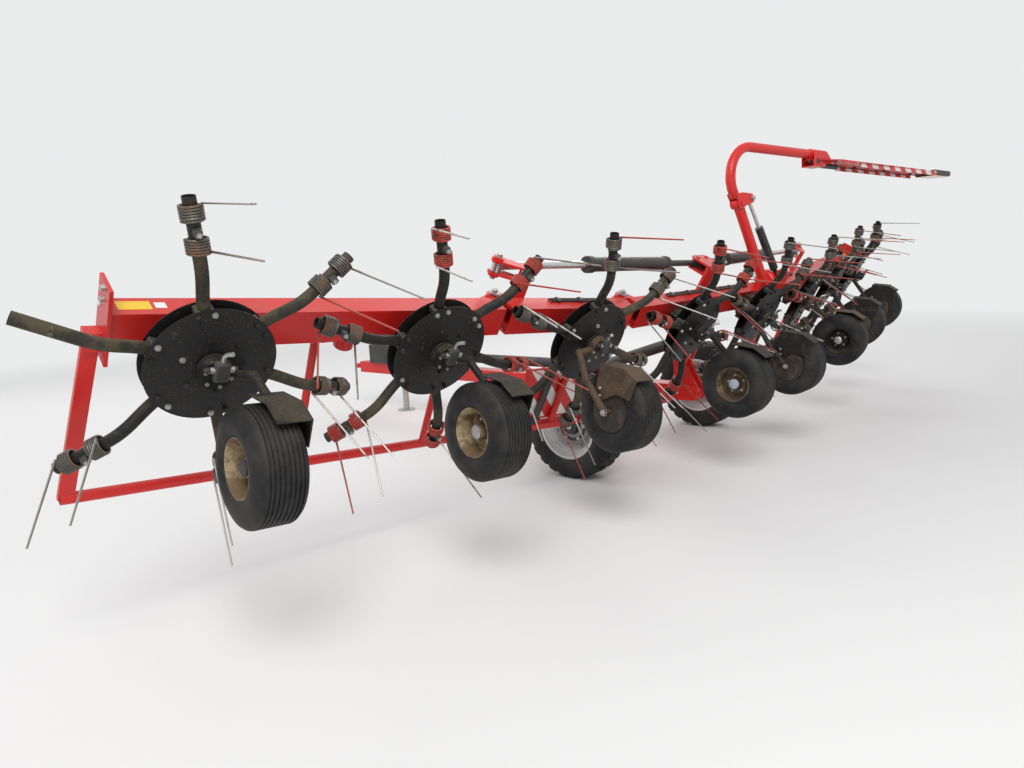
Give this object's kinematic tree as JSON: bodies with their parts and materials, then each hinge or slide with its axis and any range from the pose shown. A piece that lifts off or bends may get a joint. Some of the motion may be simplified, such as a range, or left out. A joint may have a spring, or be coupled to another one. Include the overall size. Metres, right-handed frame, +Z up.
{
  "type": "hay_tedder",
  "caption": "Trailed hay tedder, its row of tined rotors raised for the road over a wheeled carrier with a drawbar, jack and lamp boom",
  "frame": {"origin": "on the floor, under the middle of the part's bounding box", "axes": "+X to the right along the row, +Y forward to the hitch eye, +Z up"},
  "size_m": [8.9521, 5.2416, 2.3679],
  "materials": {
    "red_paint": "gloss, worn and faded",
    "black_paint": "satin, dusty",
    "dirty_steel": "matt, soiled olive brown",
    "bare_steel": "bright where it slides",
    "zinc_rim": "silver grey paint, dull",
    "tyre_black": "matt, dusty",
    "board": "white with red bands"
  },
  "bodies": {
    "carrier": {"axle_beam": "red_paint", "stub_axles": "bare_steel", "spine": "red_paint", "hitch_eye": "red_paint", "drive_line": "black_paint", "jack_tube": "black_paint"},
    "jack": {"jack_leg": "bare_steel"},
    "wheel_left": {"transport_tyre_left": "tyre_black", "transport_rim_left": "zinc_rim"},
    "wheel_right": {"transport_tyre_right": "tyre_black", "transport_rim_right": "zinc_rim"},
    "row": {"lift_frame": "red_paint", "centre_beam": "red_paint", "fold_bracket": "red_paint", "supports_centre": "dirty_steel", "boom_post": "red_paint"},
    "boom": {"gooseneck": "red_paint", "lamp_carrier": "red_paint"},
    "boom_cylinder": {"boom_barrel": "black_paint"},
    "boom_piston": {"boom_rod": "bare_steel"},
    "lift_cylinder": {"lift_barrel": "black_paint"},
    "lift_piston": {"lift_rod": "bare_steel"},
    "wing_left": {"inner_beam_left": "red_paint", "supports_inner_left": "dirty_steel", "marker_board_left": "board"},
    "tip_left": {"outer_beam_left": "red_paint", "supports_outer_left": "dirty_steel", "guard_rail_left": "red_paint"},
    "fold_cylinder_left": {"fold_barrel_left": "black_paint"},
    "fold_piston_left": {"fold_rod_left": "bare_steel"},
    "wing_right": {"inner_beam_right": "red_paint", "supports_inner_right": "dirty_steel", "marker_board_right": "board"},
    "tip_right": {"outer_beam_right": "red_paint", "supports_outer_right": "dirty_steel", "guard_rail_right": "red_paint"},
    "fold_cylinder_right": {"fold_barrel_right": "black_paint"},
    "fold_piston_right": {"fold_rod_right": "bare_steel"},
    "spinner_1": {"rotor_1": "dirty_steel"},
    "gauge_1": {"gauge_wheel_1": "tyre_black"},
    "spinner_2": {"rotor_2": "dirty_steel"},
    "gauge_2": {"gauge_wheel_2": "tyre_black"},
    "spinner_3": {"rotor_3": "dirty_steel"},
    "gauge_3": {"gauge_wheel_3": "tyre_black"},
    "spinner_4": {"rotor_4": "dirty_steel"},
    "gauge_4": {"gauge_wheel_4": "tyre_black"},
    "spinner_5": {"rotor_5": "dirty_steel"},
    "gauge_5": {"gauge_wheel_5": "tyre_black"},
    "spinner_6": {"rotor_6": "dirty_steel"},
    "gauge_6": {"gauge_wheel_6": "tyre_black"},
    "spinner_7": {"rotor_7": "dirty_steel"},
    "gauge_7": {"gauge_wheel_7": "tyre_black"},
    "spinner_8": {"rotor_8": "dirty_steel"},
    "gauge_8": {"gauge_wheel_8": "tyre_black"}
  },
  "joints": [
    {"name": "lift", "type": "hinge", "parent": "carrier", "child": "row", "pos_m": [-0.0387, -1.6884, 0.49], "axis": [-1, 0, 0], "range_deg": [-44.5, 0]},
    {"name": "lift_cylinder_pin", "type": "hinge", "parent": "carrier", "child": "lift_cylinder", "pos_m": [-0.0387, -0.6984, 0.61], "axis": [-1, 0, 0], "range_deg": [-5.78, 0.1]},
    {"name": "lift_piston_slide", "type": "slide", "parent": "lift_cylinder", "child": "lift_piston", "axis": [0, -0.953, 0.303], "range_m": [-0.001, 0.29704]},
    {"name": "fold_left", "type": "hinge", "parent": "row", "child": "wing_left", "pos_m": [-1.1087, -1.68129, 1.19734], "axis": [0, 0.5075, -0.8616], "range_deg": [-7.8, 82.2]},
    {"name": "tip_left", "type": "hinge", "parent": "wing_left", "child": "tip_left", "pos_m": [-2.1688, -1.55617, 1.27104], "axis": [0, 0.5075, -0.8616], "range_deg": [0, 8]},
    {"name": "fold_cylinder_pin_left", "type": "hinge", "parent": "row", "child": "fold_cylinder_left", "pos_m": [-0.0987, -1.7314, 1.46958], "axis": [0, 0.5075, -0.8616], "range_deg": [-4.15, 42.8]},
    {"name": "fold_piston_slide_left", "type": "slide", "parent": "fold_cylinder_left", "child": "fold_piston_left", "axis": [-0.9986, 0.0458, 0.027], "range_m": [-0.70558, 0.06876]},
    {"name": "fold_right", "type": "hinge", "parent": "row", "child": "wing_right", "pos_m": [1.0313, -1.68129, 1.19734], "axis": [0, -0.5075, 0.8616], "range_deg": [-7.8, 82.2]},
    {"name": "tip_right", "type": "hinge", "parent": "wing_right", "child": "tip_right", "pos_m": [2.0914, -1.55617, 1.27104], "axis": [0, -0.5075, 0.8616], "range_deg": [0, 8]},
    {"name": "fold_cylinder_pin_right", "type": "hinge", "parent": "row", "child": "fold_cylinder_right", "pos_m": [0.0213, -1.7314, 1.46958], "axis": [0, -0.5075, 0.8616], "range_deg": [-4.15, 42.8]},
    {"name": "fold_piston_slide_right", "type": "slide", "parent": "fold_cylinder_right", "child": "fold_piston_right", "axis": [0.9986, 0.0458, 0.027], "range_m": [-0.70558, 0.06876]},
    {"name": "boom_tilt", "type": "hinge", "parent": "row", "child": "boom", "pos_m": [0.42502, -1.81893, 1.9], "axis": [-0.2079, -0.9781, 0], "range_deg": [0, 35]},
    {"name": "boom_cylinder_pin", "type": "hinge", "parent": "row", "child": "boom_cylinder", "pos_m": [0.91117, -1.92226, 1.34], "axis": [-0.2079, -0.9781, 0], "range_deg": [0, 0.349]},
    {"name": "boom_piston_slide", "type": "slide", "parent": "boom_cylinder", "child": "boom_piston", "axis": [-0.5144, 0.1093, 0.8505], "range_m": [-0.001, 0.08017]},
    {"name": "jack_slide", "type": "slide", "parent": "carrier", "child": "jack", "axis": [0, 0, 1], "range_m": [0, 0.31]},
    {"name": "wheel_turn_left", "type": "hinge", "parent": "carrier", "child": "wheel_left", "pos_m": [-0.9927, -1.2374, 0.38], "axis": [1, 0, 0], "continuous": true},
    {"name": "wheel_turn_right", "type": "hinge", "parent": "carrier", "child": "wheel_right", "pos_m": [0.9153, -1.2374, 0.38], "axis": [1, 0, 0], "continuous": true},
    {"name": "rotor_turn_1", "type": "hinge", "parent": "tip_left", "child": "spinner_1", "pos_m": [-3.80102, -1.63312, 1.22571], "axis": [0.1357, 0.8537, 0.5028], "continuous": true},
    {"name": "gauge_turn_1", "type": "hinge", "parent": "tip_left", "child": "gauge_1", "pos_m": [-3.79999, -1.93498, 0.85292], "axis": [0.9907, -0.1169, -0.0689], "continuous": true},
    {"name": "rotor_turn_2", "type": "hinge", "parent": "tip_left", "child": "spinner_2", "pos_m": [-2.74092, -1.75825, 1.15201], "axis": [0.1357, 0.8537, 0.5028], "continuous": true},
    {"name": "gauge_turn_2", "type": "hinge", "parent": "tip_left", "child": "gauge_2", "pos_m": [-2.73989, -2.06011, 0.77922], "axis": [0.9907, -0.1169, -0.0689], "continuous": true},
    {"name": "rotor_turn_3", "type": "hinge", "parent": "wing_left", "child": "spinner_3", "pos_m": [-1.68082, -1.88337, 1.07831], "axis": [0.1357, 0.8537, 0.5028], "continuous": true},
    {"name": "gauge_turn_3", "type": "hinge", "parent": "wing_left", "child": "gauge_3", "pos_m": [-1.80264, -2.17073, 0.71406], "axis": [0.9907, -0.1169, -0.0689], "continuous": true},
    {"name": "rotor_turn_4", "type": "hinge", "parent": "row", "child": "spinner_4", "pos_m": [-0.5737, -1.9484, 1.04], "axis": [0, 0.8616, 0.5075], "continuous": true},
    {"name": "gauge_turn_4", "type": "hinge", "parent": "row", "child": "gauge_4", "pos_m": [-0.5117, -2.24656, 0.66939], "axis": [1, 0, 0], "continuous": true},
    {"name": "rotor_turn_5", "type": "hinge", "parent": "row", "child": "spinner_5", "pos_m": [0.4963, -1.9484, 1.04], "axis": [0, 0.8616, 0.5075], "continuous": true},
    {"name": "gauge_turn_5", "type": "hinge", "parent": "row", "child": "gauge_5", "pos_m": [0.4343, -2.24656, 0.66939], "axis": [1, 0, 0], "continuous": true},
    {"name": "rotor_turn_6", "type": "hinge", "parent": "wing_right", "child": "spinner_6", "pos_m": [1.60342, -1.88337, 1.07831], "axis": [-0.1357, 0.8537, 0.5028], "continuous": true},
    {"name": "gauge_turn_6", "type": "hinge", "parent": "wing_right", "child": "gauge_6", "pos_m": [1.72524, -2.17073, 0.71406], "axis": [0.9907, 0.1169, 0.0689], "continuous": true},
    {"name": "rotor_turn_7", "type": "hinge", "parent": "tip_right", "child": "spinner_7", "pos_m": [2.66352, -1.75825, 1.15201], "axis": [-0.1357, 0.8537, 0.5028], "continuous": true},
    {"name": "gauge_turn_7", "type": "hinge", "parent": "tip_right", "child": "gauge_7", "pos_m": [2.66249, -2.06011, 0.77922], "axis": [0.9907, 0.1169, 0.0689], "continuous": true},
    {"name": "rotor_turn_8", "type": "hinge", "parent": "tip_right", "child": "spinner_8", "pos_m": [3.72362, -1.63312, 1.22571], "axis": [-0.1357, 0.8537, 0.5028], "continuous": true},
    {"name": "gauge_turn_8", "type": "hinge", "parent": "tip_right", "child": "gauge_8", "pos_m": [3.72259, -1.93498, 0.85292], "axis": [0.9907, 0.1169, 0.0689], "continuous": true}
  ],
  "couplings": [
    {"joint": "lift_cylinder_pin", "follows": "lift", "ratio": 0.12769},
    {"joint": "lift_piston_slide", "follows": "lift", "m_per_rad": -0.3813},
    {"joint": "fold_cylinder_pin_left", "follows": "fold_left", "ratio": 0.51946},
    {"joint": "fold_piston_slide_left", "follows": "fold_left", "m_per_rad": -0.49041},
    {"joint": "fold_cylinder_pin_right", "follows": "fold_right", "ratio": 0.51946},
    {"joint": "fold_piston_slide_right", "follows": "fold_right", "m_per_rad": -0.49041},
    {"joint": "boom_cylinder_pin", "follows": "boom_tilt", "ratio": 0.00979},
    {"joint": "boom_piston_slide", "follows": "boom_tilt", "m_per_rad": 0.12995},
    {"joint": "rotor_turn_2", "follows": "rotor_turn_1", "ratio": -1},
    {"joint": "rotor_turn_3", "follows": "rotor_turn_1", "ratio": 1},
    {"joint": "rotor_turn_4", "follows": "rotor_turn_1", "ratio": -1},
    {"joint": "rotor_turn_5", "follows": "rotor_turn_1", "ratio": 1},
    {"joint": "rotor_turn_6", "follows": "rotor_turn_1", "ratio": -1},
    {"joint": "rotor_turn_7", "follows": "rotor_turn_1", "ratio": 1},
    {"joint": "rotor_turn_8", "follows": "rotor_turn_1", "ratio": -1}
  ]
}
